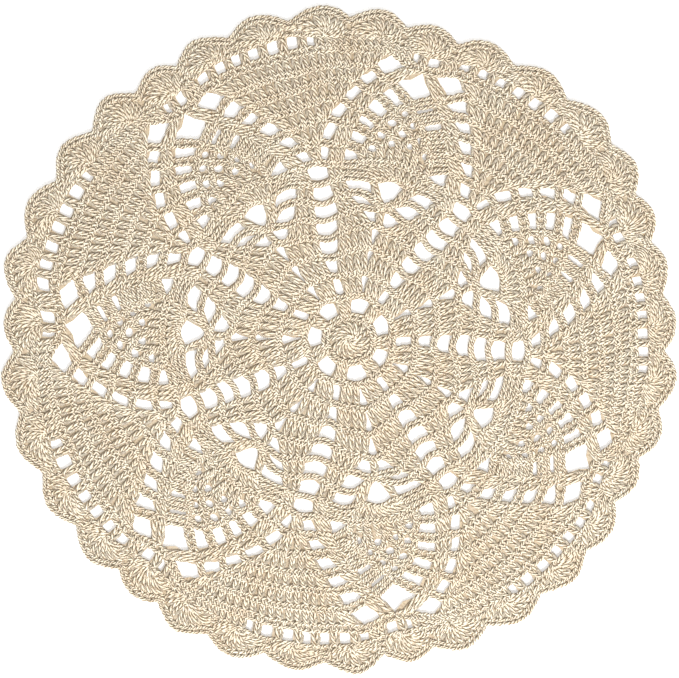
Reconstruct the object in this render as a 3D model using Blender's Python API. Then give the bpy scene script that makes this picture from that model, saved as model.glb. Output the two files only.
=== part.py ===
# A round crocheted cotton doily lying flat: one cloth with a scalloped edge
# and the larger gaps of its seven pineapples open right through.
# The underside lies on z = 0, the middle of its extents on the Z axis.
# Chart places: u is percent of a repeat clockwise from the axis of a
# pineapple, r is millimetres from the middle of the pattern.

import math

import bpy
from mathutils import Vector
from mathutils.geometry import delaunay_2d_cdt

# Driving sizes
ACROSS = 0.300  # metres, widest extent along X
THICKNESS = 0.0020  # metres
COTTON = (0.66, 0.55, 0.41, 1.0)

# The pattern, in millimetres of the chart
REPEATS = 7
FIRST_AXIS = math.radians(23.1)  # of pineapple 0, anticlockwise from +X
REPEAT_ANGLE = math.tau / REPEATS
POST = 1.3  # half the width of a post
CHAIN = 1.3  # half the width of a round's chained edge
POST_PAIR = 2.1  # half the width of a pair of posts
LEAST = 0.4  # half the width or height a gap keeps where its sides meet
ROUND_CORNER = 0.45  # 0 makes a gap an ellipse, 1 a full rectangle

# Leaves of rounds 1-8. Radius of the top edge on the axis, on the flank and
# between two leaves, the flank's place, how far the leaf is turned, and the
# place of its outermost post.
LEAF_ROUNDS = {
    # round: axis, flank, between, flank_u, turn, outer
    1: (9.8, 9.8, 9.8, 22, 0.0, 0.0),
    2: (19.4, 19.2, 18.8, 22, -2.0, 25.0),
    3: (30.9, 30.4, 29.1, 22, -3.5, 37.5),
    4: (42.5, 41.0, 37.8, 22, -3.5, 36.5),
    5: (53.1, 51.0, 46.8, 22, -2.0, 36.5),
    6: (61.1, 59.2, 55.1, 22, 0.5, 37.6),
    7: (64.7, 66.8, 63.1, 28, 1.0, 39.4),
    8: (74.2, 74.8, 72.0, 26, 1.2, 41.6),
}

# Arches of rounds 9-15 and the solid wedges between them. Radius of the top
# edge on the axis, then place and radius at the left arch, the right arch,
# the wedge's first post and its last one, and the spread of an arch's posts.
ARCH_ROUNDS = {
    # round: axis, left (u, r), right (u, r), wedge (u, r) first and last, spread
    9: (82.2, (-37.9, 80.2), (38.2, 80.2), (51.3, 81.5), (51.9, 81.5), 3.9),
    10: (88.2, (-34.3, 88.7), (33.3, 88.0), (47.4, 89.1), (53.7, 90.0), 4.6),
    11: (93.6, (-29.7, 97.0), (27.1, 94.9), (40.3, 97.2), (58.9, 99.2), 4.2),
    12: (98.1, (-24.4, 104.1), (21.5, 102.6), (33.7, 105.0), (65.2, 107.5), 3.4),
    13: (102.3, (-18.7, 111.1), (15.7, 109.3), (27.4, 112.0), (71.4, 115.1), 2.8),
    14: (110.0, (-12.0, 117.3), (10.5, 114.8), (21.7, 120.0), (77.9, 122.6), 2.8),
    15: (127.2, (-2.5, 127.2), (3.0, 127.2), (16.1, 128.5), (84.2, 130.8), 2.6),
}

# Round 16, a band of squares: places and radii along its top edge, and the
# pairs of posts that stand on either side of its gaps.
SQUARES_EDGE = ((0, 134.3), (20, 137.7), (50, 139.3), (75, 137.2))
SQUARES_POSTS = ((-0.3, 6.5), (10.5, 17.8), (17.8, 24.9), (24.9, 31.8),
                 (31.8, 38.8), (38.8, 46.4), (46.4, 54.2))

# Scallops of the last rounds: where each begins, the radius there, and the
# radius of its tip.
SCALLOPS = (
    # begin_u, valley, tip
    (-50.4, 145.7, 152.0),
    (-29.3, 146.2, 151.4),
    (-9.7, 144.7, 149.1),
    (8.2, 144.0, 150.7),
    (28.5, 145.8, 151.4),
)
SCALLOP_STEPS = 8
SCALLOP_FULLNESS = 1.15

# Gaps inside a leaf or a pineapple: the posts or chains on the left and on
# the right, each as its foot on the edge below and its head on the edge above.
INNER_GAPS = (
    # round, left foot, left head, right foot, right head
    (2, -50.0, -25.0, 50.0, 25.0),
    (6, -11.0, -21.0, -1.5, -1.0),
    (6, -0.5, -1.0, 12.0, 22.0),
    (7, -26.0, -31.0, -6.0, -12.0),
    (7, 3.5, 7.0, 25.0, 33.5),
    (8, -33.0, -36.5, -6.5, -15.5),
    (8, -7.5, -14.5, 5.5, 14.5),
    (8, 8.0, 18.5, 33.5, 38.0),
)
# The same beside an arch, where only the chain of the net is given.
NET_LEFT = {
    # round: foot, head
    10: (-22.0, -21.5),
    11: (-19.5, -18.5),
    12: (-15.5, -14.0),
    13: (-10.0, -8.0),
    14: (-5.5, -3.5),
}
NET_RIGHT = {
    # round: foot, head
    10: (21.5, 18.5),
    14: (1.5, 2.5),
}

# How the cloth lies pulled out of round: displacements in millimetres, outward
# or round (anticlockwise), as one, two and three waves about the middle, held
# in full at a radius and eased straight to the next.
PULL_RADII = (0.0, 67.2, 125.4, 151.4)
PULL = (
    # at, way, (amount, phase in degrees) of one, two and three waves
    (1, "outward", (1.50, 216), (0.50, -33), (0.50, 126)),
    (2, "outward", (3.20, 177), (0.55, -6), (0.70, 144)),
    (3, "outward", (4.95, 171), (1.30, 16), (1.15, 116)),
    (1, "round", (1.30, 130), (0.80, 141), (0.35, 77)),
    (2, "round", (1.20, 94), (0.95, -109), (0.65, -96)),
    (3, "round", (0.45, -109), (0.95, -99), (1.20, -68)),
)
PULL_INNERMOST = 9.0  # no point turns as if it were nearer than this
# Places where only the rim bulges out or is pushed in.
RIM_BULGES = (
    # angle in degrees, millimetres outward, half width in degrees
    (2, -1.4, 5),
    (13, -1.8, 5),
    (38, 1.3, 9),
    (68, -1.3, 9),
    (103, 0.9, 10),
    (147, -1.5, 10),
    (170, 1.1, 7),
    (298, -1.0, 6),
)
RIM_BEGINS = 120.0
RIM_FULL = 145.0


def pulled(way, angle, radius):
    """Millimetres the cloth is pulled one way at a place of the pattern."""
    radius = min(radius, PULL_RADII[-1])
    total = 0.0
    for at, row_way, *waves in PULL:
        before, here = PULL_RADII[at - 1], PULL_RADII[at]
        after = PULL_RADII[min(at + 1, len(PULL_RADII) - 1)]
        if row_way != way or not before < radius < max(after, here + 1):
            continue
        if radius <= here:
            weight = (radius - before) / (here - before)
        else:
            weight = (after - radius) / (after - here)
        for count, (amount, phase) in enumerate(waves, 1):
            total += weight * amount * math.cos(count * angle - math.radians(phase))
    return total


def bulge(angle, radius):
    """Millimetres the rim bulges outward at a place of the pattern."""
    part = min(1.0, max(0.0, (radius - RIM_BEGINS) / (RIM_FULL - RIM_BEGINS)))
    total = 0.0
    for middle, amount, half_width in RIM_BULGES:
        apart = (math.degrees(angle) - middle + 180) % 360 - 180
        total += part * amount * math.exp(-(apart / half_width) ** 2)
    return total


def lay(repeat, u, r):
    """The place (x, y) in millimetres where a chart place lies."""
    angle = FIRST_AXIS + REPEAT_ANGLE * (repeat - u / 100)
    radius = r + pulled("outward", angle, r) + bulge(angle, r)
    angle += pulled("round", angle, r) / max(r, PULL_INNERMOST)
    return Vector((radius * math.cos(angle), radius * math.sin(angle)))


def edge_marks(number):
    """Places and radii that the top edge of a round runs through."""
    if number in LEAF_ROUNDS:
        axis, flank, between, flank_u, turn, _ = LEAF_ROUNDS[number]
        return [(turn, axis), (turn + flank_u, flank), (50, between),
                (turn + 100 - flank_u, flank)]
    if number in ARCH_ROUNDS:
        axis, left, right, first, last, _ = ARCH_ROUNDS[number]
        return [(0, axis), right, first, last, (left[0] + 100, left[1])]
    return list(SQUARES_EDGE)


def edge_radius(number, u):
    """Radius of a round's top edge, eased from mark to mark."""
    marks = sorted((place + turn, radius) for place, radius in edge_marks(number)
                   for turn in (-100, 0, 100))
    u = u % 100
    for (u0, r0), (u1, r1) in zip(marks, marks[1:]):
        if u0 <= u < u1:
            part = (u - u0) / (u1 - u0)
            return r0 + (r1 - r0) * part * part * (3 - 2 * part)


def percent(length, r):
    """A length along a round of radius r, as percent of a repeat."""
    return 100 * length / (REPEAT_ANGLE * r)


def arch_side(number, side):
    """Outer side of an arch in a round: foot and head of its outer post."""
    places = []
    for ring in (number - 1, number):
        u, r = ARCH_ROUNDS[ring][1 if side < 0 else 2]
        places.append(u + side * percent(ARCH_ROUNDS[ring][5] / 2, r))
    return places


def arch_inside(number, side):
    """Inner side of an arch in a round: foot and head of its inner post."""
    places = []
    for ring in (number - 1, number):
        u, r = ARCH_ROUNDS[ring][1 if side < 0 else 2]
        places.append(u - side * percent(ARCH_ROUNDS[ring][5] / 2, r))
    return places


def between_leaves(number):
    """The gap between two leaves, on the line between two pineapples."""
    _, _, _, _, turn0, outer0 = LEAF_ROUNDS[number - 1]
    if number in LEAF_ROUNDS:
        _, _, _, _, turn1, outer1 = LEAF_ROUNDS[number]
        head_left = turn1 + outer1
        head_right = turn1 - outer1 + 100
    else:
        _, left, right, _, _, spread = ARCH_ROUNDS[number]
        head_left = right[0] + percent(spread / 2, right[1])
        head_right = left[0] - percent(spread / 2, left[1]) + 100
    return (number, turn0 + outer0, head_left, turn0 - outer0 + 100, head_right)


def gap_rows():
    """All gaps of a repeat, the posts beside them and a gap's corner count."""
    rows = [(row, POST, 8 if row[0] in (2, 8) else 6) for row in INNER_GAPS]
    rows.append((between_leaves(3), POST_PAIR, 6))
    for number in range(4, 10):
        rows.append((between_leaves(number), POST, 6))
    for number in range(10, 16):
        _, _, _, first0, last0, _ = ARCH_ROUNDS[number - 1]
        _, _, _, first1, last1, _ = ARCH_ROUNDS[number]
        right = arch_side(number, 1)
        rows.append(((number, *right, first0[0], first1[0]), POST, 6))
        left = [u + 100 for u in arch_side(number, -1)]
        rows.append(((number, last0[0], last1[0], *left), POST, 6))
    for number, chain in NET_LEFT.items():
        rows.append(((number, *arch_inside(number, -1), *chain), POST, 6))
    for number, chain in NET_RIGHT.items():
        rows.append(((number, *chain, *arch_inside(number, 1)), POST, 6))
    apex = (15, *arch_inside(15, -1), *arch_inside(15, 1))
    rows.append((apex, POST, 8))
    for left, right in SQUARES_POSTS:
        rows.append(((16, left, left, right, right), POST_PAIR, 6))
    return rows


def gap_corners(row, post, corners):
    """Corners of one gap in chart places, anticlockwise seen from above."""
    number, left_foot, left_head, right_foot, right_head = row
    places = []
    for corner in range(corners):
        turn = math.tau * (corner + 0.5) / corners
        across, up = math.cos(turn), math.sin(turn)
        reach = max(abs(across), abs(up))
        swell = 1 + ROUND_CORNER * (1 / reach - 1)
        across, up = across * swell, up * swell
        height = (1 + up) / 2
        left = left_foot + (left_head - left_foot) * height
        right = right_foot + (right_head - right_foot) * height
        middle = (left + right) / 2
        low = edge_radius(number - 1, middle + across * (right - left) / 2)
        high = edge_radius(number, middle + across * (right - left) / 2)
        r = (low + high) / 2 + up * max(LEAST, (high - low) / 2 - CHAIN)
        half = max(percent(LEAST, r), (right - left) / 2 - percent(post, r))
        places.append((middle + across * half, r))
    return places


def outline():
    """Corners of the scalloped rim, in millimetres as it lies."""
    points = []
    for repeat in range(REPEATS):
        for index, (begin, valley, tip) in enumerate(SCALLOPS):
            last = index == len(SCALLOPS) - 1
            end, valley_end, _ = SCALLOPS[(index + 1) % len(SCALLOPS)]
            end += 100 if last else 0
            for step in range(SCALLOP_STEPS):
                part = step / SCALLOP_STEPS
                base = valley + (valley_end - valley) * part
                rise = math.sin(math.pi * part) ** SCALLOP_FULLNESS
                u = begin + (end - begin) * part
                points.append(lay(-repeat, u, base + (tip - base) * rise))
    return points


def make_doily():
    """The cloth as one closed plate with its gaps open."""
    rings = [outline()]
    for repeat in range(REPEATS):
        for row, post, corners in gap_rows():
            places = gap_corners(row, post, corners)
            rings.append([lay(repeat, u, r) for u, r in places])
    flat = []
    loops = []
    for ring in rings:
        loops.append(list(range(len(flat), len(flat) + len(ring))))
        flat.extend(ring)
    low = Vector((min(p.x for p in flat), min(p.y for p in flat)))
    high = Vector((max(p.x for p in flat), max(p.y for p in flat)))
    scale = ACROSS / (high.x - low.x)
    flat = [(p - (low + high) / 2) * scale for p in flat]
    inside_with_holes = 2
    points, edges, faces, _, _, _ = delaunay_2d_cdt(
        flat, [], loops, inside_with_holes, 1e-7)
    count = len(points)
    vertices = [(p.x, p.y, 0.0) for p in points]
    vertices += [(p.x, p.y, THICKNESS) for p in points]
    solid = []
    beside = {}
    for face in faces:
        solid.append(tuple(index + count for index in face))
        solid.append(tuple(reversed(face)))
        for start, end in zip(face, list(face[1:]) + [face[0]]):
            beside[(start, end)] = True
    for start, end in beside:
        if (end, start) not in beside:
            solid.append((start, end, end + count))
            solid.append((start, end + count, start + count))
    mesh = bpy.data.meshes.new("doily")
    mesh.from_pydata(vertices, [], solid)
    mesh.update()
    cloth = bpy.data.objects.new("doily", mesh)
    bpy.context.scene.collection.objects.link(cloth)
    return cloth


def make_cotton():
    """Undyed crochet cotton."""
    cotton = bpy.data.materials.new("cotton")
    cotton.use_nodes = True
    shader = cotton.node_tree.nodes["Principled BSDF"]
    shader.inputs["Base Color"].default_value = COTTON
    shader.inputs["Roughness"].default_value = 0.9
    return cotton


for item in list(bpy.data.objects):
    bpy.data.objects.remove(item, do_unlink=True)
doily = make_doily()
doily.data.materials.append(make_cotton())
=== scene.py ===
import math
import random

import bpy
import numpy as np
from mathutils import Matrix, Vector
from mathutils.geometry import delaunay_2d_cdt


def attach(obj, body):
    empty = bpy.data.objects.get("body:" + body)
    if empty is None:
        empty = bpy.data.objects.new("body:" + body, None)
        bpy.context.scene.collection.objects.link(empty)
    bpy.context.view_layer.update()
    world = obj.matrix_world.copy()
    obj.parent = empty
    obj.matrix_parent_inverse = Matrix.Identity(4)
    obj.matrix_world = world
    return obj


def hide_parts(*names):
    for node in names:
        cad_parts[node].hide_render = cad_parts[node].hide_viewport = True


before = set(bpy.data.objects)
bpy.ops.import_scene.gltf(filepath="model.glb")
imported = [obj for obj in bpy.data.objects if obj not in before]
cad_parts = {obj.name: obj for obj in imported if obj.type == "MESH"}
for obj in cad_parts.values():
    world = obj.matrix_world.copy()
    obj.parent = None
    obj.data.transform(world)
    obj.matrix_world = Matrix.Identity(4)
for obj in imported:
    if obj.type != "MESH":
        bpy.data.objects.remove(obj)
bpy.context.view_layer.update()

# ---------------------------------------------------------------------------
# View: straight down from above the middle of the doily, as a picture taken
# flat on a table, 679 x 678, the cloth filling it from edge to edge.
# ---------------------------------------------------------------------------
VIEW_ACROSS = 0.3013  # width of what is seen
VIEW_LEVEL = 0.001  # at this height, the middle of the cloth
VIEW_HEIGHT = 1.5
VIEW_MIDDLE = (0.0003, 0.0003)
SENSOR = 36.0

bpy.ops.object.camera_add(location=(*VIEW_MIDDLE, VIEW_HEIGHT), rotation=(0, 0, 0))
camera = bpy.context.object
camera.name = "camera"
camera.data.sensor_width = SENSOR
camera.data.lens = SENSOR * (VIEW_HEIGHT - VIEW_LEVEL) / VIEW_ACROSS
camera.data.clip_end = 10.0
bpy.context.scene.camera = camera
bpy.context.scene.view_settings.view_transform = "Standard"

# ---------------------------------------------------------------------------
# Ground of the cloth: the lower strands and fuzz of the cotton, which close the
# stitches from behind. It is a thin web, worked together with the stitches, and
# all the gaps of the pattern are open in it. Its darker brown colour is painted
# shade, the shadow in the slits between the threads and round the gaps.
# ---------------------------------------------------------------------------
MM = 0.001
ACROSS = 300.0  # widest extent along X, in millimetres
REPEATS = 7
FIRST_AXIS = math.radians(23.1)  # of the first pineapple, from X
REPEAT_ANGLE = math.tau / REPEATS

# The chart of the pattern. In all its tables u is percent of a repeat clockwise
# from the axis of a pineapple, and r is millimetres from the middle. The edge of
# a round is the chained line on the far side of its stitches.
#
# Rounds 1 to 8 have a solid leaf on each side of the axis: radii of the edge on
# the axis, on the flank and between two leaves, then u of the flank from the
# axis, of the axis itself, of a leaf's inner foot and head and of its outer
# side, all from the axis, and how many posts a leaf has.
LEAF_ROUNDS = {
    # round: axis, flank, between, flank_u, turn, inner foot, inner head, outer, posts
    1: (10.7, 10.7, 10.7, 22, 0.0, 0.0, 0.0, 0.0, 0),
    2: (20.5, 20.2, 19.1, 22, -2.0, 0.0, 5.4, 32.6, 0),
    3: (31.5, 30.7, 29.4, 22, -3.5, 7.2, 13.8, 38.2, 3),
    4: (43.1, 41.1, 37.8, 22, -3.5, 4.6, 9.2, 35.9, 4),
    5: (53.7, 51.0, 46.6, 22, -2.0, 4.6, 8.2, 35.8, 5),
    6: (61.6, 59.2, 54.8, 22, 0.5, 10.0, 23.5, 37.0, 4),
    7: (64.7, 66.7, 62.8, 28, 1.0, 24.0, 31.5, 39.4, 3),
    8: (74.2, 74.8, 72.1, 26, 1.2, 31.5, 36.0, 41.6, 2),
}
# In rounds 9 to 15 an arch stands on each side of a pineapple, its posts spread
# some millimetres apart, and a solid wedge of posts stands between two
# pineapples: radius of the edge on the axis, then heads of the arches and of the
# wedge's first and last post as (u, r), the spread, and how many posts a wedge has.
ARCH_ROUNDS = {
    # round: axis, left arch, right arch, wedge first, wedge last, spread, posts
    9: (82.2, (-37.9, 80.2), (38.2, 80.2), (51.3, 81.5), (51.9, 81.5), 4.1, 0),
    10: (88.2, (-34.3, 89.0), (33.3, 88.4), (47.4, 89.7), (53.5, 90.6), 4.6, 2),
    11: (93.6, (-30.3, 97.6), (27.1, 95.5), (40.3, 98.1), (59.0, 100.7), 4.2, 4),
    12: (98.1, (-24.9, 104.9), (21.3, 103.4), (33.7, 105.9), (66.0, 109.3), 3.6, 8),
    13: (102.3, (-19.3, 112.1), (15.1, 110.3), (27.3, 113.2), (72.9, 117.5), 3.1, 12),
    14: (107.2, (-13.0, 118.3), (10.0, 116.0), (22.0, 121.6), (79.3, 124.3), 3.0, 16),
    15: (126.1, (-1.9, 126.2), (3.4, 126.2), (14.7, 130.0), (85.6, 132.0), 2.6, 21),
}
# Places where an edge runs further out or in than its marks give.
EDGE_LIFTS = (
    # round, u, half width, millimetres outward
    (5, -14.0, 7.0, 0.6),
    (5, 8.0, 7.0, -1.2),
    (6, -19.0, 8.0, 2.1),
    (6, 16.0, 8.0, -0.8),
    (7, -19.0, 8.0, 0.8),
    (7, 0.0, 6.0, -2.4),
    (7, 18.0, 8.0, 1.2),
    (8, 0.0, 6.5, 1.4),
    (8, -11.5, 5.0, -0.7),
    (8, 12.0, 5.0, -1.0),
    (8, -24.0, 8.0, -0.9),
    (8, 25.0, 8.0, 0.5),
    (9, -27.5, 6.0, -0.6),
    (9, 27.0, 6.0, -0.9),
)
# Round 16 is a row of squares: (u, r) of its edge, its single posts, and the run
# of posts with no gaps.
SQUARES_EDGE = ((0, 134.9), (20, 139.1), (50, 140.4), (75, 138.2))
SQUARES_PAIRS = (-0.6, 6.9, 10.5, 17.8, 24.9, 31.8, 38.8, 46.2, 53.6, 59.8)
SQUARES_CLOSED = 6.9  # the post after which no gap is left
SQUARES_CLOSER = 8.9  # one more post, which fills it
SQUARES_SOLID = (62.5, 93.8, 13)  # first post, last post, posts
# The net inside a pineapple hangs in loops from arch to arch.
NET_TOPS = {
    # round: (u, r) at the top of each loop, where the next round's loops begin
    9: ((-21.0, 83.4), (-10.7, 84.2), (-0.7, 84.8), (9.5, 84.6), (20.0, 83.6)),
    10: ((-15.5, 90.3), (-6.0, 93.8), (4.5, 94.4), (14.5, 92.6)),
    11: ((-12.6, 96.9), (-2.0, 99.1), (9.0, 98.4)),
    12: ((-8.0, 102.9), (3.0, 103.4)),
    13: ((-2.5, 107.3),),
    14: ((-1.0, 109.1),),
}
NET_HOLES = {
    # round: half the width and half the height of a gap under a loop
    10: (2.1, 1.8),
    11: (1.9, 1.6),
    12: (1.7, 1.35),
    13: (1.5, 1.2),
}
NET_NARROWS = 0.02  # share of its width that a gap loses for each percent to the right
NET_GAP_BELOW = 2.8  # from the top of a loop to the middle of the gap under it
NET_CLOSED = (11, 12)  # rounds whose net closes the gap beside the arch on the right
NET_LEFT_UP = 2.4  # how far above a loop's foot the chain from the left arch ends
NET_BAR = 1.8  # from the middle of a bar of the net to the gap beside it
NET_CORNER = 1.35  # how much further in a corner of such a gap is than its sides
NET_LEAST = 0.3  # share of the way to its corners that it keeps at least
NET_ROUND = (0.18, 0.5, 0.82)  # where its rounded rim touches each side
# Scallops of the rim: u where each begins, radii of its first valley and its tip.
SCALLOPS = (
    # begin_u, valley, tip
    (-50.4, 145.7, 152.0),
    (-29.3, 146.2, 151.4),
    (-9.7, 144.7, 149.1),
    (8.2, 144.0, 150.7),
    (28.5, 145.8, 151.4),
)
SCALLOP_FULLNESS = 1.15
# Gaps of the inner rounds, as u of the feet and heads of the posts beside them.
INNER_GAPS = (
    # round, left foot, left head, right foot, right head
    (2, -40.0, -38.0, 40.0, 38.0),
    (6, -11.0, -21.0, -1.5, -1.0),
    (6, -0.5, -1.0, 12.0, 22.0),
    (7, -26.0, -31.0, -6.0, -12.0),
    (7, 3.5, 7.0, 25.0, 33.5),
    (8, -33.0, -36.5, -7.0, -12.0),
    (8, -7.0, -12.0, 7.0, 11.8),
    (8, 9.5, 16.8, 33.5, 38.0),
)
# How the cloth lies pulled out of round, in millimetres outward or round, as
# waves about the middle. Each is full at one of the radii, which are counted
# from 0, and eased straight to nothing at the next on both sides.
PULL_RADII = (0.0, 67.2, 125.4, 151.4)
PULL = (
    # radius, way, (amount, phase in degrees) of one, two and three waves
    (1, "outward", (1.25, -138), (0.35, -51), (0.45, 141)),
    (2, "outward", (2.75, 182), (0.55, 19), (0.80, 147)),
    (3, "outward", (5.30, 172), (1.70, 12), (1.50, 108)),
    (1, "round", (1.20, 149), (0.80, 142), (0.35, 69)),
    (2, "round", (1.05, 106), (1.10, -105), (0.70, -97)),
    (3, "round", (1.50, -98), (1.65, -104), (1.80, -61)),
)
PULL_INNERMOST = 9.0  # within it the cloth turns no further
# Where the rim bulges or is drawn in.
RIM_BULGES = (
    # angle in degrees, millimetres outward, half width in degrees
    (2, -1.4, 5),
    (13, -1.8, 5),
    (38, 1.3, 9),
    (68, -1.3, 9),
    (103, 0.9, 10),
    (140, -1.0, 25),
    (147, -1.5, 10),
    (170, 1.1, 7),
    (298, -1.0, 6),
    (312, 1.1, 14),
)
RIM_BEGINS = 120.0  # radius where the bulges begin
RIM_FULL = 145.0  # and where they are full
# How the gaps are cut: millimetres from the middle of a post or chain to the rim
# of a gap, and how square it is, from 0, an oval, to 1, sharp corners.
GAP_EDGES = (
    # from this round on, inset, squareness
    (1, 1.65, 0.76),
    (6, 1.45, 0.82),
    (8, 1.6, 0.80),
    (10, 1.75, 0.80),
    (16, 2.1, 0.74),
)
LEAST_GAP = 0.4  # half the width or height of the smallest gap
WEB_INSET = 1.0  # from the rim of the cloth
WEB_LOW = 0.75  # heights of its underside and top above the table
WEB_HIGH = 1.4
WEB_CORNERS = 12  # of each gap
HAND_WAVES = 14  # waves that make the rows wander as worked by hand
HAND_REACH = (11.0, 34.0)  # length of the waves
HAND_AMOUNT = 0.12

hand = random.Random(11)
hand_waves = []
for _ in range(HAND_WAVES):
    heading = hand.uniform(0, math.tau)
    length = hand.uniform(*HAND_REACH)
    push = hand.uniform(0, math.tau)
    hand_waves.append((np.array([math.cos(heading), math.sin(heading)]) * math.tau / length,
                       np.array([math.cos(push), math.sin(push)])))


def pulled(way, angle, radius):
    """Millimetres the cloth is pulled one way at places of the pattern."""
    radius = np.minimum(radius, PULL_RADII[-1])
    total = 0.0
    for at, row_way, *waves in PULL:
        if row_way != way:
            continue
        full = [1.0 if station == at else 0.0 for station in range(len(PULL_RADII))]
        weight = np.interp(radius, PULL_RADII, full)
        for count, (amount, phase) in enumerate(waves, 1):
            total += weight * amount * np.cos(count * angle - math.radians(phase))
    return total


def bulge(angle, radius):
    """Millimetres the rim bulges outward at places of the pattern."""
    part = np.clip((radius - RIM_BEGINS) / (RIM_FULL - RIM_BEGINS), 0.0, 1.0)
    total = 0.0
    for middle, amount, half_width in RIM_BULGES:
        apart = (np.degrees(angle) - middle + 180) % 360 - 180
        total += part * amount * np.exp(-(apart / half_width) ** 2)
    return total


def lay(repeat, u, r):
    """Where chart places lie, as rows of x and y in millimetres."""
    u, r = np.broadcast_arrays(np.asarray(u, float), np.asarray(r, float))
    angle = FIRST_AXIS + REPEAT_ANGLE * (repeat - u / 100)
    radius = r + pulled("outward", angle, r) + bulge(angle, r)
    angle = angle + pulled("round", angle, r) / np.maximum(r, PULL_INNERMOST)
    spots = np.stack([radius * np.cos(angle), radius * np.sin(angle)], -1)
    for wave, way in hand_waves:
        spots = spots + HAND_AMOUNT * np.sin(spots @ wave)[..., None] * way
    return spots


def edge_marks(number):
    """Places and radii that the top edge of a round runs through."""
    if number in LEAF_ROUNDS:
        axis, flank, between, flank_u, turn = LEAF_ROUNDS[number][:5]
        return [(turn, axis), (turn + flank_u, flank), (50, between),
                (turn + 100 - flank_u, flank)]
    if number in ARCH_ROUNDS:
        axis, left, right, first, last = ARCH_ROUNDS[number][:5]
        return [(0, axis), right, first, last, (left[0] + 100, left[1])]
    return list(SQUARES_EDGE)


def edge_radius(number, u):
    """Radius of a round's top edge, eased from mark to mark."""
    marks = sorted((place + turn, radius) for place, radius in edge_marks(number)
                   for turn in (-100, 0, 100))
    u = np.asarray(u, float) % 100
    places = np.array([place for place, _ in marks])
    radii = np.array([radius for _, radius in marks])
    after = np.clip(np.searchsorted(places, u, side="right"), 1, len(places) - 1)
    part = (u - places[after - 1]) / (places[after] - places[after - 1])
    ease = part * part * (3 - 2 * part)
    lift = sum(amount * np.exp(-(((u - place + 50) % 100 - 50) / half_width) ** 2)
               for ring, place, half_width, amount in EDGE_LIFTS if ring == number)
    return radii[after - 1] + (radii[after] - radii[after - 1]) * ease + lift


def percent(length, r):
    """A length along a round of radius r, as percent of a repeat."""
    return 100 * length / (REPEAT_ANGLE * r)


def arch_posts(number, side, way):
    """Foot and head of an arch's post: way 1 is its outer post, -1 its inner."""
    places = []
    for ring in (number - 1, number):
        u, r = ARCH_ROUNDS[ring][1 if side < 0 else 2]
        places.append(u + way * side * percent(ARCH_ROUNDS[ring][5] / 2, r))
    return places


def between_leaves(number):
    """The gap between two leaves, on the line between two pineapples."""
    turn0, outer0 = LEAF_ROUNDS[number - 1][4], LEAF_ROUNDS[number - 1][7]
    if number in LEAF_ROUNDS:
        turn1, outer1 = LEAF_ROUNDS[number][4], LEAF_ROUNDS[number][7]
        heads = (turn1 + outer1, turn1 - outer1 + 100)
    else:
        _, left, right, _, _, spread, _ = ARCH_ROUNDS[number]
        heads = (right[0] + percent(spread / 2, right[1]),
                 left[0] - percent(spread / 2, left[1]) + 100)
    return (number, turn0 + outer0, heads[0], turn0 - outer0 + 100, heads[1])


def gap_rows():
    """Every gap between posts: round, left foot and head, right foot and head."""
    rows = list(INNER_GAPS)
    rows += [between_leaves(number) for number in range(3, 10)]
    for number in (3, 4, 5):
        turn0, turn1 = LEAF_ROUNDS[number - 1][4], LEAF_ROUNDS[number][4]
        foot, head = LEAF_ROUNDS[number][5:7]
        rows.append((number, turn0 - foot, turn1 - head, turn0 + foot, turn1 + head))
    for number in range(10, 16):
        first0, last0 = ARCH_ROUNDS[number - 1][3:5]
        first1, last1 = ARCH_ROUNDS[number][3:5]
        rows.append((number, *arch_posts(number, 1, 1), first0[0], first1[0]))
        left = [u + 100 for u in arch_posts(number, -1, 1)]
        rows.append((number, last0[0], last1[0], *left))
    rows.append((15, *arch_posts(15, -1, -1), *arch_posts(15, 1, -1)))
    pairs = (SQUARES_SOLID[1] - 100, *SQUARES_PAIRS)
    for left, right in zip(pairs, pairs[1:]):
        if left != SQUARES_CLOSED:
            rows.append((16, left, left, right, right))
    return rows


def gap_ring(row):
    """Corners of one gap in chart places, anticlockwise seen from above."""
    number, left_foot, left_head, right_foot, right_head = row
    inset, square = [gap for first, *gap in GAP_EDGES if number >= first][-1]
    turn = math.tau * (np.arange(WEB_CORNERS) + 0.5) / WEB_CORNERS
    across, up = np.cos(turn), np.sin(turn)
    swell = 1 + square * (1 / np.maximum(abs(across), abs(up)) - 1)
    across, up = across * swell, up * swell
    height = (1 + up) / 2
    left = left_foot + (left_head - left_foot) * height
    right = right_foot + (right_head - right_foot) * height
    middle = (left + right) / 2
    low = edge_radius(number - 1, middle + across * (right - left) / 2)
    high = edge_radius(number, middle + across * (right - left) / 2)
    r = (low + high) / 2 + up * np.maximum(LEAST_GAP, (high - low) / 2 - inset)
    half = np.maximum(percent(LEAST_GAP, r), (right - left) / 2 - percent(inset, r))
    return middle + across * half, r


def net_end(number, side):
    """Where a round's chain from an arch ends on the net."""
    u, r = NET_TOPS[number - 1 if number < 14 else 14][0 if side < 0 else -1]
    return u, r + (NET_LEFT_UP if side < 0 and number < 14 else 0.0)


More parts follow.
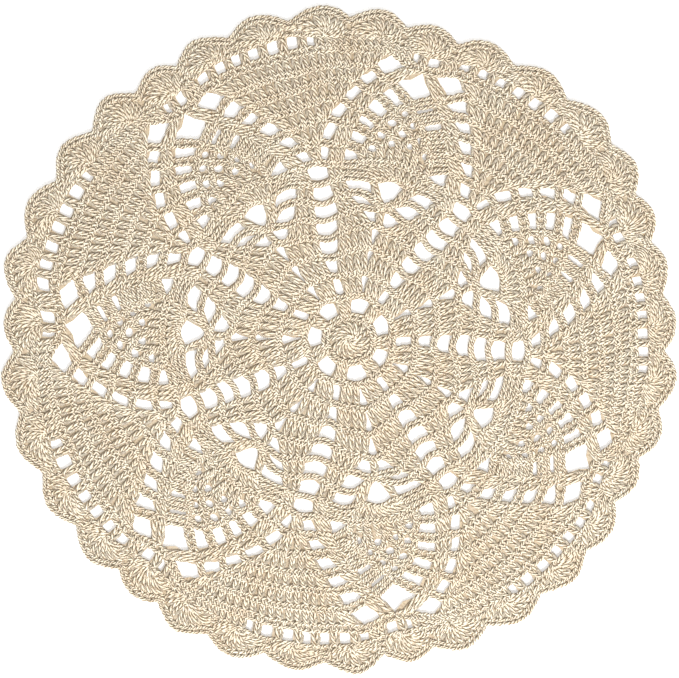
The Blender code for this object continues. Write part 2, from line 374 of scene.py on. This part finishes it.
def net_rings():
    """Corners of every gap of a net: under its loops and beside the arches."""
    found = []
    turn = math.tau * (np.arange(WEB_CORNERS) + 0.5) / WEB_CORNERS
    for number in range(10, 14):
        feet, tops = NET_TOPS[number - 1], NET_TOPS[number]
        for (u, top), (left, _), (right, _) in zip(tops, feet, feet[1:]):
            r = top - NET_GAP_BELOW
            u = (u + (left + right) / 2) / 2
            wide, tall = NET_HOLES[number]
            wide *= 1 - NET_NARROWS * u
            found.append((u + percent(wide, r) * np.cos(turn), r + tall * np.sin(turn)))
    for side in (-1, 1):
        end = 0 if side < 0 else -1
        for number in range(10, 15):
            inner = [arch_posts(number, side, -1)[i] for i in (0, 1)]
            ring = [(u, float(edge_radius(number - 1 + i, u))) for i, u in enumerate(inner)]
            ring.append(net_end(number, side))
            if number == 14:
                ring.append(NET_TOPS[13][0])
            if number == 10:
                u = NET_TOPS[9][end][0]
                ring.append((u, float(edge_radius(9, u))))
            else:
                ring.append(net_end(number - 1, side))
            if side < 0 or number not in NET_CLOSED:
                found.append(smooth_ring(ring, NET_BAR if number > 10 else NET_BAR / 2))
    return found


def smooth_ring(corners, inset):
    """A rounded ring inside the corners of a gap, about an inset from its sides."""
    spots = np.array([(u / percent(1.0, r), r) for u, r in corners])
    middle = spots.mean(0)
    reach = np.linalg.norm(spots - middle, axis=1).mean()
    spots = middle + (spots - middle) * max(NET_LEAST, 1 - NET_CORNER * inset / reach)
    ends = np.concatenate([spots, spots[:1]])
    ring = []
    for start, end in zip(ends, ends[1:]):
        for part in NET_ROUND:
            ring.append(start + (end - start) * part)
    ring = np.array(ring)
    return ring[:, 0] * percent(1.0, ring[:, 1]), ring[:, 1]


def scallop_line(repeat, index, inset, begin=0.0, end=1.0, count=9):
    """Points along one scallop of the rim, inset from its outline."""
    begin_u, valley, tip = SCALLOPS[index]
    end_u, valley_end, _ = SCALLOPS[(index + 1) % len(SCALLOPS)]
    end_u += 100 if index == len(SCALLOPS) - 1 else 0
    part = np.linspace(begin, end, count)
    base = valley + (valley_end - valley) * part
    rise = np.sin(math.pi * np.clip(part, 0, 1)) ** SCALLOP_FULLNESS
    return lay(repeat, begin_u + (end_u - begin_u) * part, base + (tip - base) * rise - inset)


def outline(inset):
    """The whole rim, inset, clockwise from the first pineapple."""
    lines = [scallop_line(-repeat, index, inset)[:-1]
             for repeat in range(REPEATS) for index in range(len(SCALLOPS))]
    return np.concatenate(lines)


rim = outline(0.0)
middle_of_cloth = (rim.min(0) + rim.max(0)) / 2
to_metres = ACROSS / np.ptp(rim[:, 0]) * MM


def placed(points):
    """Rows of x, y and z in chart millimetres as metres round the origin."""
    points = np.asarray(points, float).copy()
    points[:, :2] -= middle_of_cloth
    return points * to_metres


rings = [outline(WEB_INSET)]
for repeat in range(REPEATS):
    rings += [lay(repeat, *gap_ring(row)) for row in gap_rows()]
    rings += [lay(repeat, u, r) for u, r in net_rings()]
corners = []
loops_of_corners = []
for ring in rings:
    loops_of_corners.append(list(range(len(corners), len(corners) + len(ring))))
    corners.extend(Vector(place) for place in ring)
INSIDE_WITH_HOLES = 2
SAME_PLACE = 1e-6
flat_points, _, flat_faces, _, _, _ = delaunay_2d_cdt(
    corners, [], loops_of_corners, INSIDE_WITH_HOLES, SAME_PLACE)
count = len(flat_points)
flat = np.array([[p.x, p.y] for p in flat_points])
low_side = np.column_stack([flat, np.full(count, WEB_LOW)])
high_side = np.column_stack([flat, np.full(count, WEB_HIGH)])
walls = []
beside = {edge for face in flat_faces for edge in zip(face, [*face[1:], face[0]])}
for start, end in sorted(beside):
    if (end, start) not in beside:
        walls.append((start, end, end + count, start + count))
web_faces = [tuple(i + count for i in face) for face in flat_faces]
web_faces += [tuple(reversed(face)) for face in flat_faces]
web_mesh = bpy.data.meshes.new("backing_and_shade_web")
web_mesh.from_pydata(placed(np.vstack([low_side, high_side])).tolist(), [], web_faces + walls)
web_mesh.update()
backing_and_shade_web = bpy.data.objects.new("backing_and_shade_web", web_mesh)
bpy.context.scene.collection.objects.link(backing_and_shade_web)

# Undyed crochet cotton, cream. The web in the depth of the cloth is painted
# browner as the shade between the threads. The group gives the colour and relief
# of three plies twisted into a thread, with painted shade darkening the grooves
# between the plies; each material has its own shader.
cotton_surface = bpy.data.node_groups.new("cotton_surface", "ShaderNodeTree")
for name, kind, where in (("Light", "NodeSocketColor", "INPUT"),
                          ("Warm", "NodeSocketColor", "INPUT"),
                          ("Dark", "NodeSocketColor", "INPUT"),
                          ("Mottle", "NodeSocketFloat", "INPUT"),
                          ("Ply Depth", "NodeSocketFloat", "INPUT"),
                          ("Twist", "NodeSocketFloat", "INPUT"),
                          ("Relief", "NodeSocketFloat", "INPUT"),
                          ("Colour", "NodeSocketColor", "OUTPUT"),
                          ("Normal", "NodeSocketVector", "OUTPUT")):
    cotton_surface.interface.new_socket(name, in_out=where, socket_type=kind)


def node(tree, kind, links=(), **values):
    """A node with plain values; links are (socket, source output or number)."""
    made = tree.nodes.new(kind)
    for name, value in values.items():
        setattr(made, name, value)
    for socket, source in links:
        if hasattr(source, "links"):
            tree.links.new(source, made.inputs[socket])
        else:
            made.inputs[socket].default_value = source
    return made


def sum_of(tree, operation, *values):
    """One step of arithmetic in a shader."""
    return node(tree, "ShaderNodeMath", list(enumerate(values)), operation=operation).outputs[0]


PLIES = 3.0
PATCH_SCALE = 60.0  # broad warmer and cooler patches
STRAND_SCALE = 1000.0  # strands within a ply
FIBRE_SCALE = 2600.0  # single fibres
PATCH_SLIP = 4.0  # how far the patches shift the twist
PATCH_RANGE = (0.38, 0.62)  # of the noise, from light to warm
RIDGE_ROUND = 0.6  # the less, the broader the back of a ply
FIBRE_TINT = 0.22
FIBRE_HEIGHT = 0.35
RELIEF_DEPTH = 0.0003

tree = cotton_surface
given = node(tree, "NodeGroupInput").outputs
spot = node(tree, "ShaderNodeTexCoord").outputs["Object"]
uv = node(tree, "ShaderNodeUVMap", uv_map="UVMap").outputs["UV"]
along = node(tree, "ShaderNodeSeparateXYZ", [("Vector", uv)]).outputs
patches, strands, fibres = (
    node(tree, "ShaderNodeTexNoise", [("Vector", spot), ("Scale", scale), ("Detail", detail)])
    for scale, detail in ((PATCH_SCALE, 3.0), (STRAND_SCALE, 2.0), (FIBRE_SCALE, 2.0)))
slip = sum_of(tree, "MULTIPLY", patches.outputs["Fac"], PATCH_SLIP)
turn = sum_of(tree, "MULTIPLY_ADD", along["X"], given["Twist"],
              sum_of(tree, "MULTIPLY_ADD", along["Y"], PLIES, slip))
wave = sum_of(tree, "ABSOLUTE", sum_of(tree, "SINE", sum_of(tree, "MULTIPLY", turn, math.pi)))
ridge = sum_of(tree, "POWER", wave, RIDGE_ROUND)
# Painted shade: the grooves between the plies are mixed towards the Dark colour, as the shade that
# falls in them; the noise added next is uneven tone of the strands and fibres.
groove_shade = sum_of(tree, "MULTIPLY", sum_of(tree, "SUBTRACT", 1.0, ridge), given["Ply Depth"])
uneven, fuzz = (
    sum_of(tree, "MULTIPLY", sum_of(tree, "SUBTRACT", noise.outputs["Fac"], 0.5), given["Mottle"])
    for noise in (strands, fibres))
share = node(tree, "ShaderNodeMath", [(0, sum_of(tree, "ADD", groove_shade, uneven)), (1, fuzz)],
             operation="ADD", use_clamp=True).outputs[0]
warmth = node(tree, "ShaderNodeMapRange", [("Value", patches.outputs["Fac"]),
                                           ("From Min", PATCH_RANGE[0]),
                                           ("From Max", PATCH_RANGE[1])]).outputs["Result"]
tint = node(tree, "ShaderNodeMix", [("Factor", warmth), (6, given["Light"]), (7, given["Warm"])],
            data_type="RGBA").outputs[2]
colour = node(tree, "ShaderNodeMix", [("Factor", share), (6, tint), (7, given["Dark"])],
              data_type="RGBA").outputs[2]
colour = node(tree, "ShaderNodeMix", [("Factor", FIBRE_TINT), (6, colour),
                                      (7, fibres.outputs["Color"])],
              data_type="RGBA", blend_type="OVERLAY").outputs[2]
height = sum_of(tree, "MULTIPLY_ADD", fibres.outputs["Fac"], FIBRE_HEIGHT,
                sum_of(tree, "MULTIPLY", ridge, given["Ply Depth"]))
bump = node(tree, "ShaderNodeBump", [("Height", height), ("Distance", RELIEF_DEPTH),
                                     ("Strength", given["Relief"])]).outputs[0]
node(tree, "NodeGroupOutput", [("Colour", colour), ("Normal", bump)])


def cotton(name, **values):
    """A cotton material with its own shader over the shared surface group."""
    made = bpy.data.materials.new(name)
    made.use_nodes = True
    shader = made.node_tree.nodes["Principled BSDF"]
    surface = made.node_tree.nodes.new("ShaderNodeGroup")
    surface.node_tree = cotton_surface
    for socket, value in values.items():
        surface.inputs[socket.replace("_", " ")].default_value = value
    made.node_tree.links.new(surface.outputs["Colour"], shader.inputs["Base Color"])
    made.node_tree.links.new(surface.outputs["Normal"], shader.inputs["Normal"])
    shader.inputs["Roughness"].default_value = 0.72
    shader.inputs["Specular IOR Level"].default_value = 0.3
    shader.inputs["Sheen Weight"].default_value = 0.2
    return made


# Painted shade: the web is coloured a darker brown than the thread, as the shadow in the slits
# between the threads and round the gaps.
backing_and_shade_web.data.materials.append(cotton(
    "cotton_depth_shade", Light=(0.47, 0.385, 0.28, 1), Warm=(0.455, 0.365, 0.25, 1),
    Dark=(0.20, 0.14, 0.075, 1), Mottle=3.0, Ply_Depth=0.0, Twist=0.0, Relief=0.8))
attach(backing_and_shade_web, "root")
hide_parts("doily")

# ---------------------------------------------------------------------------
# Rounds of stitches: double crochet posts, each a twisted pair of strands that
# hooks round the chain below, and the chained edge that closes every round.
# One thread of cotton, about 1.7 mm thick, makes them all.
# ---------------------------------------------------------------------------
THREAD = 0.83  # half the thickness of the thread
LINK_PITCH = 3.7  # length of a link, and room that a post takes along a round
CHAIN_MIDDLE = 1.6  # height of a chain's middle above the table
CHAIN_SLACK = (0.84, 1.18)  # narrowest and widest link
CHAIN_SLIP = 0.05  # how far a link slips along, of a link
CHAIN_UNEVEN = 0.08  # how far it strays across and up
CHAIN_STEP = 0.01  # length over which the way of a chain is measured
CHAIN_LINK = (
    # along (of a link), across, up
    (-0.12, 0.00, -0.42),
    (0.06, 0.60, -0.10),
    (0.40, 1.02, 0.20),
    (0.84, 1.06, 0.34),
    (1.14, 0.66, 0.14),
    (1.24, 0.00, -0.36),
    (1.14, -0.66, 0.14),
    (0.84, -1.06, 0.34),
    (0.40, -1.02, 0.20),
    (0.06, -0.60, -0.10),
)
POST_MIDDLE = 1.35  # height of a post's middle above the table
POST_LEAN = 0.25  # how far posts stray: across at the foot,
POST_TILT = 0.4  # more at the head,
POST_SWAY = 0.35  # and in between
POST_FULL = (0.88, 1.12)  # narrowest and widest post
POST_THICK = (0.9, 1.1)  # flattest and thickest post
POST_LINE = (
    # across, share of the height, millimetres beyond it, up
    (-1.30, 0.97, -0.3, -0.50),
    (-1.10, 0.91, 0.0, 0.10),
    (-0.55, 0.82, 0.0, 0.50),
    (0.00, 0.71, 0.0, 0.65),
    (0.45, 0.57, 0.0, 0.62),
    (0.78, 0.40, 0.0, 0.52),
    (0.98, 0.23, 0.0, 0.50),
    (1.08, 0.08, 0.0, 0.66),
    (1.02, 0.00, -0.15, 0.72),
    (0.85, 0.00, -0.60, 0.15),
    (0.45, 0.00, -0.55, -0.50),
    (-0.35, 0.00, -0.50, -0.55),
    (-0.80, 0.00, -0.60, 0.10),
    (-1.02, 0.00, -0.15, 0.66),
    (-1.00, 0.10, 0.0, 0.56),
    (-0.82, 0.25, 0.0, 0.40),
    (-0.48, 0.41, 0.0, 0.20),
    (-0.05, 0.56, 0.0, -0.15),
    (0.42, 0.70, 0.0, -0.40),
    (0.82, 0.84, 0.0, -0.38),
    (1.05, 0.96, -0.3, -0.50),
)
POST_TURN = (
    # the same columns, for the turn of thread that lies round the middle of a post
    (-1.30, 0.40, 0.0, -0.50),
    (-1.38, 0.52, 0.0, 0.20),
    (-1.20, 0.66, 0.0, 0.36),
    (-0.80, 0.80, 0.0, 0.20),
    (-0.35, 0.90, 0.0, -0.45),
)


def lengths_along(line):
    """How far along a line each of its points lies."""
    steps = np.hypot(*(line[1:] - line[:-1]).T)
    return np.concatenate([[0.0], np.cumsum(steps)])


def chain(line, pitch=LINK_PITCH, width=1.0, up=CHAIN_MIDDLE):
    """Rings of thread for a chain along a line of x and y."""
    gone = lengths_along(line)
    links = max(1, round(gone[-1] / pitch))
    pitch = gone[-1] / links
    shape = np.array(CHAIN_LINK)
    rings = []
    for link in range(links):
        slack = hand.uniform(*CHAIN_SLACK)
        s = (link + shape[:, 0] + hand.uniform(-CHAIN_SLIP, CHAIN_SLIP)) * pitch
        inside = np.clip(s, 2 * CHAIN_STEP, gone[-1] - 2 * CHAIN_STEP)
        x, y = (np.interp(inside, gone, line[:, axis]) for axis in (0, 1))
        tx, ty = (np.interp(inside + CHAIN_STEP, gone, line[:, axis])
                  - np.interp(inside - CHAIN_STEP, gone, line[:, axis]) for axis in (0, 1))
        size = np.hypot(tx, ty)
        tx, ty = tx / size, ty / size
        x, y = x + tx * (s - inside), y + ty * (s - inside)
        off = shape[:, 1] * width * slack + hand.uniform(-CHAIN_UNEVEN, CHAIN_UNEVEN)
        z = up + shape[:, 2] + hand.uniform(-CHAIN_UNEVEN, CHAIN_UNEVEN)
        rings.append(np.column_stack([x - ty * off, y + tx * off, z]))
    return rings


def post(foot, head, wide=(1.0, 1.0)):
    """One double crochet from its foot to its head, and the turn round its middle."""
    along = head - foot
    tall = float(np.hypot(*along))
    along = along / tall
    across = np.array([along[1], -along[0]])
    lean, tilt, sway = (hand.uniform(-most, most) for most in (POST_LEAN, POST_TILT, POST_SWAY))
    push, full, thick = hand.uniform(0, 3), hand.uniform(*POST_FULL), hand.uniform(*POST_THICK)
    paths = []
    for line in (np.array(POST_LINE), np.array(POST_TURN)):
        share = line[:, 1]
        flare = wide[0] + (wide[1] - wide[0]) * share
        x = line[:, 0] * flare * full + lean + tilt * share + sway * np.sin(math.pi * share + push)
        y = share * tall + line[:, 2]
        z = POST_MIDDLE + line[:, 3] * thick
        paths.append(np.column_stack([foot + x[:, None] * across + y[:, None] * along, z]))
    return paths


def thread(name, open_paths, rings):
    """One mesh of thread: open lengths and closed rings, smooth, UVs in mm."""
    meshes = []
    for paths, cyclic in ((open_paths, False), (rings, True)):
        if not paths:
            continue
        curve = bpy.data.curves.new(name, "CURVE")
        curve.dimensions = "3D"
        curve.bevel_depth = THREAD * to_metres
        curve.bevel_resolution = 1
        curve.use_fill_caps = True
        for path in paths:
            spline = curve.splines.new("POLY")
            spline.points.add(len(path) - 1)
            points = np.column_stack([placed(path), np.ones(len(path))])
            spline.points.foreach_set("co", points.astype(np.float32).ravel())
            spline.use_cyclic_u = cyclic
        strand = bpy.data.objects.new(name, curve)
        bpy.context.scene.collection.objects.link(strand)
        bpy.ops.object.select_all(action="DESELECT")
        strand.select_set(True)
        bpy.context.view_layer.objects.active = strand
        bpy.ops.object.convert(target="MESH")
        strand = bpy.context.object
        lengths = [float(np.linalg.norm(np.diff(path, axis=0), axis=1).sum()) for path in paths]
        uvs = strand.data.uv_layers[0].data
        co = np.zeros(len(uvs) * 2, np.float32)
        uvs.foreach_get("uv", co)
        co[0::2] *= np.mean(lengths)
        uvs.foreach_set("uv", co)
        meshes.append(strand)
    bpy.ops.object.select_all(action="DESELECT")
    for strand in meshes:
        strand.select_set(True)
    bpy.context.view_layer.objects.active = meshes[0]
    if len(meshes) > 1:
        bpy.ops.object.join()
    made = bpy.context.object
    made.name = name
    made.data.name = name
    bpy.ops.object.shade_smooth()
    return made


# The Dark colour of the thread is painted shade in the grooves between the plies, and also the
# darker flecks of its mottle.
cotton_thread = cotton(
    "cotton_thread", Light=(0.76, 0.685, 0.545, 1), Warm=(0.75, 0.645, 0.49, 1),
    Dark=(0.22, 0.145, 0.07, 1), Mottle=2.1, Ply_Depth=1.8, Twist=0.85, Relief=1.0)

# Where the posts and chains of one repeat go. The widths of chains are against
# those on the wedges.
POST_WIDTHS = (0.6, 1.15)  # narrowest and widest post, where they crowd or spread
UPRIGHT = 0.75  # share of a wedge's posts' lean that its end stitches take up
ARCH_PAIRS = 12  # round from which an arch has two posts instead of three
SQUARES_WIDE = (1.25, 1.25)  # widths of a square's post at foot and head
# Posts between two leaves in round 2, and those round the gaps under the fan.
BETWEEN_LEAVES = (2, 39, 61, 37, 63, 3)
FAN_POSTS = (
    # round, first foot, last foot, first head, last head, posts
    (6, -1.2, -1.2, -1.2, -1.2, 1),
    (7, -3, 3, -8, 7, 3),
    (8, -7, -7, -12, -12, 1),
    (8, 6.5, 9.5, 11.8, 16.8, 2),
    (9, -12, 12, -21, 21, 10),
)
FAN_TOPS = (-21.0, -15.8, -10.7, -5.4, -0.7, 4.4, 9.5, 14.7, 20.0)
FAN_TOP_WIDE = (0.9, 0.95)
FAN_TOP_HEIGHT = 4.7
FAN_TOP_MORE = 2.6  # what the middle ones have more
FAN_TOP_REACH = 15.0  # percent from the axis where that ends
FAN_SIDES = ((-36.0, -17.5), (18.0, 36.0))  # chains beside the fan, from arch to fan
FAN_SIDE_UP = 3.4
EDGE_POINTS = 240
INNER_CHAIN = 0.93  # width of the chains of rounds 1 to 9
INNER_CHAIN_MIDDLE = 1.7
BAR_CHAIN = 0.55  # of those between the leaves from round 6 on
FULL_CHAIN = 1.45  # of those on the right of the arches
LEFT_CHAIN = 1.1  # of those on their left
SQUARES_CHAIN = 1.4  # of those below and above the squares
NET_PITCH = 3.4
NET_LOOP_SQUARE = 3.4  # how square a loop of the net is; 2 is a parabola
NET_CHAIN = 0.85  # width of the chains of the net
NET_LEFT_CHAIN = 1.5  # of those that come from the left arch
NET_SHIFT = 2.0  # of a second chain from the right arch towards it, percent
NET_MORE_BARS = {
    # round: how far below the first chain from the right arch to the net more lie
    11: (2.4, 4.8),
    12: (2.3, 4.6),
    13: (2.1,),
    14: (1.5,),
}


def run_of_posts(number, foot0, foot1, head0, head1, count, upright=0.0):
    """Posts with even heads from one to another: round, foot, head and width."""
    part = np.linspace(0, 1, count) if count > 1 else np.array([0.5])
    stand = np.clip((head0 + (head1 - head0) * part - foot0) / max(0.1, foot1 - foot0), 0, 1)
    feet = foot0 + (foot1 - foot0) * (part + (stand - part) * upright)
    wide = (1.0, 1.0)
    if count > 1:
        least, most = POST_WIDTHS
        wide = []
        for ring, u0, u1 in ((number - 1, foot0, foot1), (number, head0, head1)):
            room = abs(u1 - u0) / (count - 1) / percent(LINK_PITCH, edge_radius(ring, u0))
            wide.append(min(most, max(least, room)))
    return [(number, foot, head0 + (head1 - head0) * t, wide) for foot, t in zip(feet, part)]


def repeat_posts():
    """Every post of a repeat: round, foot, head and width."""
    rows = run_of_posts(*BETWEEN_LEAVES)
    for number in range(3, 9):
        turn0, outer0 = LEAF_ROUNDS[number - 1][4], LEAF_ROUNDS[number - 1][7]
        _, _, _, _, turn1, foot, head, outer1, count = LEAF_ROUNDS[number]
        for side in (-1, 1):
            rows += run_of_posts(number, turn0 + side * foot, turn0 + side * outer0,
                                 turn1 + side * head, turn1 + side * outer1, count)
    for run in FAN_POSTS:
        rows += run_of_posts(*run)
    turn, inner, outer = (LEAF_ROUNDS[8][i] for i in (4, 6, 7))
    for side in (-1, 1):
        u, r = ARCH_ROUNDS[9][1 if side < 0 else 2]
        half = percent(ARCH_ROUNDS[9][5] / 2, r)
        rows += run_of_posts(9, turn + side * inner, turn + side * outer,
                             u - side * half, u + side * half, 3)
        for number in range(10, 16):
            inner_post = arch_posts(number, side, -1)
            outer_post = arch_posts(number, side, 1)
            rows += run_of_posts(number, inner_post[0], outer_post[0],
                                 inner_post[1], outer_post[1], 3 if number < ARCH_PAIRS else 2)
    for number in range(10, 16):
        first0, last0 = ARCH_ROUNDS[number - 1][3:5]
        first1, last1 = ARCH_ROUNDS[number][3:5]
        rows += run_of_posts(number, first0[0], last0[0], first1[0], last1[0],
                             ARCH_ROUNDS[number][6], UPRIGHT)
    for place in (*SQUARES_PAIRS, SQUARES_CLOSER):
        rows.append((16, place, place, SQUARES_WIDE))
    first, last, count = SQUARES_SOLID
    rows += run_of_posts(16, first, last, first, last, count)
    return rows


def edge_line(repeat, number, begin, end):
    """A round's top edge from one place to another, as x and y."""
    u = np.linspace(begin, end, EDGE_POINTS)
    return lay(repeat, u, edge_radius(number, u))


for repeat in range(REPEATS):
    posts = []
    for number, foot, head, wide in repeat_posts():
        posts += post(lay(repeat, foot, edge_radius(number - 1, foot)),
                      lay(repeat, head, edge_radius(number, head)), wide)
    for u in FAN_TOPS:
        low = float(edge_radius(9, u))
        tall = FAN_TOP_HEIGHT + FAN_TOP_MORE * max(0.0, 1 - (u / FAN_TOP_REACH) ** 2)
        posts += post(lay(repeat, u, low), lay(repeat, u, low + tall), FAN_TOP_WIDE)
    # Chains of the rounds, from the middle outward.
    links = []
    for number in (1, 2, 9):
        links += chain(edge_line(repeat, number, 0, 100), LINK_PITCH, INNER_CHAIN,
                       INNER_CHAIN_MIDDLE)
    for number in range(3, 9):
        turn, outer = LEAF_ROUNDS[number][4], LEAF_ROUNDS[number][7]
        bar = BAR_CHAIN if number > 5 else INNER_CHAIN
        for begin, end, width in ((turn - outer, turn + outer, INNER_CHAIN),
                                  (turn + outer, turn + 100 - outer, bar)):
            links += chain(edge_line(repeat, number, begin, end), LINK_PITCH, width,
                           INNER_CHAIN_MIDDLE)
    for number in (15, 16):
        links += chain(edge_line(repeat, number, 0, 100), LINK_PITCH, SQUARES_CHAIN)
    for number in range(10, 15):
        first, last = (ARCH_ROUNDS[number][i][0] for i in (3, 4))
        outer, inner = (100 + arch_posts(number, -1, way)[1] for way in (1, -1))
        for begin, end, width in ((arch_posts(number, 1, -1)[1], first, FULL_CHAIN),
                                  (first, last, 1.0), (last, outer, LEFT_CHAIN),
                                  (outer, inner, 1.0)):
            links += chain(edge_line(repeat, number, begin, end), LINK_PITCH, width)
    for begin, end in FAN_SIDES:
        u = np.linspace(begin, end, 60)
        links += chain(lay(repeat, u, edge_radius(8, u) + FAN_SIDE_UP))
    # The net of the pineapple: its loops, then the chains from the arches to them.
    for number in range(10, 14):
        feet, tops = NET_TOPS[number - 1], NET_TOPS[number]
        for (u, top), (left, low), (right, low2) in zip(tops, feet, feet[1:]):
            part = np.linspace(-1, 1, 40)
            swell = 1 - abs(part) ** NET_LOOP_SQUARE
            base = low + (low2 - low) * (part + 1) / 2
            run = (left + right) / 2 + part * (right - left) / 2 + (u - (left + right) / 2) * swell
            links += chain(lay(repeat, run, base + (top - base) * swell), NET_PITCH, NET_CHAIN)
    for number in range(10, 15):
        for side in (-1, 1):
            begin = arch_posts(number, side, -1)[1]
            end, low = net_end(number, side)
            part = np.linspace(0, 1, 20)
            high = float(edge_radius(number, begin))
            links += chain(lay(repeat, begin + (end - begin) * part, high + (low - high) * part),
                           NET_PITCH, NET_CHAIN if side > 0 else NET_LEFT_CHAIN)
            if side < 0:
                continue
            for down in NET_MORE_BARS.get(number, ()):
                links += chain(lay(repeat, begin + NET_SHIFT + (end - begin) * part,
                                   high + (low - high) * part - down), NET_PITCH, NET_CHAIN)
    made = thread(f"repeat_{repeat + 1}", posts, links)
    made.data.materials.append(cotton_thread)
    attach(made, "root")

# ---------------------------------------------------------------------------
# Middle: the first round, a ring of double crochets of the same thread, worked
# into one small loop that is drawn tight under them.
# ---------------------------------------------------------------------------
MIDDLE_POSTS = 16
MIDDLE_HOLE = 1.5
MIDDLE_RIM = 9.4  # radius of the posts' heads
MIDDLE_WIDE = (0.5, 1.0)
MIDDLE_PITCH = 2.6
MIDDLE_CHAIN = 0.6

middle_posts = []
for index in range(MIDDLE_POSTS):
    u = 100 * REPEATS * index / MIDDLE_POSTS
    middle_posts += post(lay(0, u, MIDDLE_HOLE), lay(0, u, MIDDLE_RIM), MIDDLE_WIDE)
round_u = np.linspace(0, 100 * REPEATS, 60)
middle = thread("middle", middle_posts,
                chain(lay(0, round_u, MIDDLE_HOLE), MIDDLE_PITCH, MIDDLE_CHAIN))
middle.data.materials.append(cotton_thread)
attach(middle, "root")

# ---------------------------------------------------------------------------
# Shell edging: fans of tall posts, each fan worked into one stitch of the last
# round and bound along its rim by a chain that dips between the scallops.
# ---------------------------------------------------------------------------
SHELL_POSTS = 8  # beside the two outermost on each side
SHELL_WIDE = (0.6, 1.15)
SHELL_FOOT = 2.4  # half the spread of a fan's feet, percent
SHELL_FOOT_UP = 0.3  # of the middle foot above the last round
SHELL_FOOT_SINKS = 0.4  # less for each percent from it
SHELL_LOW = (1.6, 3.6)  # heads of the outermost posts above the last round
SHELL_LOW_IN = 0.6  # their place from the valley, percent
SHELL_ENDS = (0.03, 0.97)  # first and last head on a scallop
SHELL_HEADS_IN = 2.6  # from the rim to the heads
SHELL_CHAIN_IN = 2.1  # from the rim to the middle of its chain
SHELL_CHAIN_ENDS = (-0.02, 1.02)
SHELL_PITCH = 3.0

shell_posts = []
shell_links = []
for repeat in range(REPEATS):
    for index, (begin_u, _, _) in enumerate(SCALLOPS):
        end_u = SCALLOPS[(index + 1) % len(SCALLOPS)][0]
        end_u += 100 if index == len(SCALLOPS) - 1 else 0
        base_u = (begin_u + end_u) / 2
        heads = scallop_line(-repeat, index, SHELL_HEADS_IN, *SHELL_ENDS, SHELL_POSTS)
        low = [lay(-repeat, u, edge_radius(16, u) + np.array(SHELL_LOW))
               for u in (begin_u + SHELL_LOW_IN, end_u - SHELL_LOW_IN)]
        heads = np.concatenate([low[0], heads, low[1][::-1]])
        spread = np.linspace(-SHELL_FOOT, SHELL_FOOT, len(heads))
        for turn, head in zip(spread, heads):
            u = base_u + turn
            foot = lay(-repeat, u, edge_radius(16, u) + SHELL_FOOT_UP
                       - abs(turn) * SHELL_FOOT_SINKS)
            shell_posts += post(foot, head, SHELL_WIDE)
        shell_links += chain(scallop_line(-repeat, index, SHELL_CHAIN_IN, *SHELL_CHAIN_ENDS, 60),
                             SHELL_PITCH)
shells = thread("shell_edge", shell_posts, shell_links)
shells.data.materials.append(cotton_thread)
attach(shells, "root")

# ---------------------------------------------------------------------------
# Table: a plain white top, under a wide soft light from the near side and an
# even white surround.
# ---------------------------------------------------------------------------
TABLE_SIZE = 3.0
TABLE_GAP = 0.0002  # below the lowest strands
LIGHT_AZIMUTH = math.radians(-70)
LIGHT_HEIGHT = math.radians(48)
LIGHT_AWAY = 1.6
LIGHT_ACROSS = 0.7
LIGHT_POWER = 35.0
SURROUND = 0.9

bpy.ops.mesh.primitive_plane_add(size=TABLE_SIZE, location=(0, 0, -TABLE_GAP))
table = bpy.context.object
table.name = "table"
white = bpy.data.materials.new("table_white")
white.use_nodes = True
for socket, value in (("Base Color", (0.93, 0.93, 0.93, 1)), ("Roughness", 0.9),
                      ("Emission Color", (1, 1, 1, 1)), ("Emission Strength", 0.25)):
    white.node_tree.nodes["Principled BSDF"].inputs[socket].default_value = value
table.data.materials.append(white)

toward = Vector((math.cos(LIGHT_AZIMUTH) * math.cos(LIGHT_HEIGHT),
                 math.sin(LIGHT_AZIMUTH) * math.cos(LIGHT_HEIGHT), math.sin(LIGHT_HEIGHT)))
bpy.ops.object.light_add(type="AREA", location=toward * LIGHT_AWAY)
key = bpy.context.object
key.name = "key_light"
key.data.shape = "DISK"
key.data.size = LIGHT_ACROSS
key.data.energy = LIGHT_POWER
key.rotation_euler = toward.to_track_quat("Z", "Y").to_euler()
world = bpy.data.worlds.new("surround")
bpy.context.scene.world = world
world.use_nodes = True
world.node_tree.nodes["Background"].inputs["Color"].default_value = (1, 1, 1, 1)
world.node_tree.nodes["Background"].inputs["Strength"].default_value = SURROUND
